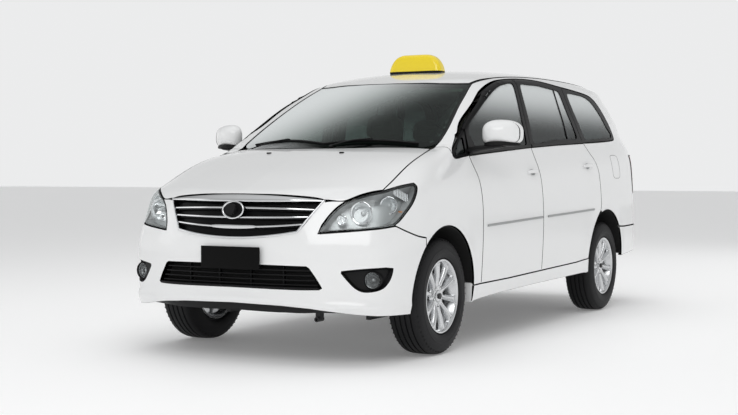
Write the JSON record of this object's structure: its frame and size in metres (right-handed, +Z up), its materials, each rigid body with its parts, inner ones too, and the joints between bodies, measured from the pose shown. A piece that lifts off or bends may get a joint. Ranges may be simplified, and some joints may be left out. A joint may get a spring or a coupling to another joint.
{
  "type": "taxi cab",
  "caption": "Three-row taxi cab people carrier with blank yellow roof lamp, opening doors, hood and tailgate, steered front wheels and rolling wheels.",
  "frame": {"origin": "on the ground under the middle of the car's bounding box", "axes": "+Z up, -Y forward (the nose), +X toward the car's left side; X = 0 is the plane of symmetry"},
  "size_m": [2.156, 4.5995, 1.7957],
  "materials": {
    "paint": "gloss white lacquer",
    "black_plastic": "grained",
    "chrome": "polished",
    "clear_glass": "tinted",
    "lamp": "clear lens over reflector",
    "red_lens": "red lens",
    "frame_black": "satin black",
    "iron": "raw casting",
    "alloy": "silver lacquer",
    "tyre": "black rubber",
    "floor_paint": "dark primer and carpet",
    "cloth": "woven seat cloth",
    "dash_plastic": "grained",
    "sign": "yellow translucent",
    "steel": "bare steel"
  },
  "bodies": {
    "car_body": {"body_sides": "paint", "roof_panel": "paint", "windshield": "clear_glass", "side_quarter_glass": "clear_glass", "front_fenders": "paint", "front_bumper": "paint", "rear_bumper": "paint", "grille": "chrome", "cowl": "black_plastic", "headlamps": "lamp", "tail_lamps": "red_lens", "floor_pan": "floor_paint", "chassis_frame": "frame_black", "engine_block": "iron", "fuel_tank": "frame_black", "exhaust": "steel", "front_suspension": "frame_black", "rear_axle": "frame_black", "dashboard": "dash_plastic", "front_seats": "cloth", "rear_seats": "cloth", "roof_sign": "sign"},
    "steering_wheel_body": {"steering_wheel": "black_plastic"},
    "hood_lid": {"hood": "paint"},
    "tailgate_lid": {"tailgate": "paint", "tailgate_glass": "clear_glass"},
    "front_left_door": {"front_door_left": "paint", "front_door_glass_left": "clear_glass", "mirror_left": "paint"},
    "rear_left_door": {"rear_door_left": "paint", "rear_door_glass_left": "clear_glass"},
    "left_knuckle": {"knuckle_left": "iron"},
    "front_left_wheel": {"tyre_front_left": "tyre", "rim_front_left": "alloy"},
    "rear_left_wheel": {"tyre_rear_left": "tyre", "rim_rear_left": "alloy"},
    "front_right_door": {"front_door_right": "paint", "front_door_glass_right": "clear_glass", "mirror_right": "paint"},
    "rear_right_door": {"rear_door_right": "paint", "rear_door_glass_right": "clear_glass"},
    "right_knuckle": {"knuckle_right": "iron"},
    "front_right_wheel": {"tyre_front_right": "tyre", "rim_front_right": "alloy"},
    "rear_right_wheel": {"tyre_rear_right": "tyre", "rim_rear_right": "alloy"}
  },
  "joints": [
    {"name": "steer_left", "type": "hinge", "parent": "car_body", "child": "left_knuckle", "pos_m": [0.7, -1.485, 0.324], "axis": [0, 0, 1], "range_deg": [-34, 34]},
    {"name": "steer_right", "type": "hinge", "parent": "car_body", "child": "right_knuckle", "pos_m": [-0.7, -1.485, 0.324], "axis": [0, 0, 1], "range_deg": [-34, 34]},
    {"name": "steering_wheel_turn", "type": "hinge", "parent": "car_body", "child": "steering_wheel_body", "pos_m": [-0.36, -0.56, 0.996], "axis": [0, 0.9617, 0.2739], "range_deg": [-480, 480]},
    {"name": "front_left_wheel_roll", "type": "hinge", "parent": "left_knuckle", "child": "front_left_wheel", "pos_m": [0.755, -1.485, 0.324], "axis": [1, 0, 0], "continuous": true},
    {"name": "rear_left_wheel_roll", "type": "hinge", "parent": "car_body", "child": "rear_left_wheel", "pos_m": [0.755, 1.265, 0.324], "axis": [1, 0, 0], "continuous": true},
    {"name": "front_left_door_hinge", "type": "hinge", "parent": "car_body", "child": "front_left_door", "pos_m": [0.876, -0.977, 0.7], "axis": [0, 0, -1], "range_deg": [0, 66]},
    {"name": "rear_left_door_hinge", "type": "hinge", "parent": "car_body", "child": "rear_left_door", "pos_m": [0.876, 0.008, 0.7], "axis": [0, 0, -1], "range_deg": [0, 66]},
    {"name": "front_right_wheel_roll", "type": "hinge", "parent": "right_knuckle", "child": "front_right_wheel", "pos_m": [-0.755, -1.485, 0.324], "axis": [1, 0, 0], "continuous": true},
    {"name": "rear_right_wheel_roll", "type": "hinge", "parent": "car_body", "child": "rear_right_wheel", "pos_m": [-0.755, 1.265, 0.324], "axis": [1, 0, 0], "continuous": true},
    {"name": "front_right_door_hinge", "type": "hinge", "parent": "car_body", "child": "front_right_door", "pos_m": [-0.876, -0.977, 0.7], "axis": [0, 0, 1], "range_deg": [0, 66]},
    {"name": "rear_right_door_hinge", "type": "hinge", "parent": "car_body", "child": "rear_right_door", "pos_m": [-0.876, 0.008, 0.7], "axis": [0, 0, 1], "range_deg": [0, 66]},
    {"name": "hood_hinge", "type": "hinge", "parent": "car_body", "child": "hood_lid", "pos_m": [0, -1.238, 1.15], "axis": [-1, 0, 0], "range_deg": [0, 50]},
    {"name": "tailgate_hinge", "type": "hinge", "parent": "car_body", "child": "tailgate_lid", "pos_m": [0, 1.981, 1.682], "axis": [1, 0, 0], "range_deg": [0, 85]}
  ],
  "couplings": [
    {"joint": "steer_right", "follows": "steer_left", "ratio": 1},
    {"joint": "steering_wheel_turn", "follows": "steer_left", "ratio": 13}
  ]
}
